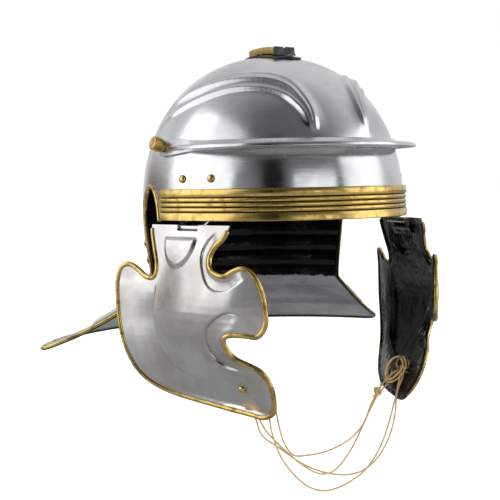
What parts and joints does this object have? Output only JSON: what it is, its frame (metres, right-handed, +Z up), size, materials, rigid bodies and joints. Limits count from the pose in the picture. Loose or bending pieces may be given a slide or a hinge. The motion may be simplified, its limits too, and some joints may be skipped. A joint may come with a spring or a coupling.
{
  "type": "roman legionary helmet",
  "caption": "Steel legionary helmet with a ribbed brass brow band, peak, flared neck guard, brass-edged cheek guards on hinges, crest holder and chin cord.",
  "frame": {"origin": "middle of the head opening, in the plane of the brow rim, where the helmet sits on a head", "axes": "+Z up, -Y towards the face, +X to the wearer's left; symmetric about X = 0 but for the cord"},
  "size_m": [0.3338, 0.3181, 0.3415],
  "materials": {
    "polished_steel": "polished, faint hammering and fine scratches; gloss black paint inside",
    "brass": "polished, slightly aged",
    "blackened_steel": "blackened, satin",
    "cord": "waxed tan cord, matt"
  },
  "bodies": {
    "root": {"brow_band": "brass", "cheek_guard_left": "polished_steel", "cheek_guard_right": "polished_steel", "cheek_guard_trim_left": "brass", "cheek_guard_trim_right": "brass", "chin_cord_front": "cord", "chin_cord_rear": "cord", "cord_eye_left": "brass", "cord_eye_right": "brass", "cord_knot": "cord", "crest_channel": "brass", "crest_plate": "blackened_steel", "crest_rivet_front": "blackened_steel", "crest_rivet_left": "blackened_steel", "crest_rivet_rear": "blackened_steel", "crest_rivet_right": "blackened_steel", "edge_trim": "brass", "helmet_bowl": "polished_steel", "hinge_flap_left": "polished_steel", "hinge_flap_right": "polished_steel", "hinge_pin_left": "brass", "hinge_pin_right": "brass", "hinge_plate_left": "polished_steel", "hinge_plate_right": "polished_steel", "hinge_rivet_left_front": "brass", "hinge_rivet_left_rear": "brass", "hinge_rivet_right_front": "brass", "hinge_rivet_right_rear": "brass", "peak": "polished_steel", "peak_stud_left": "brass", "peak_stud_right": "brass"}
  },
  "joints": []
}
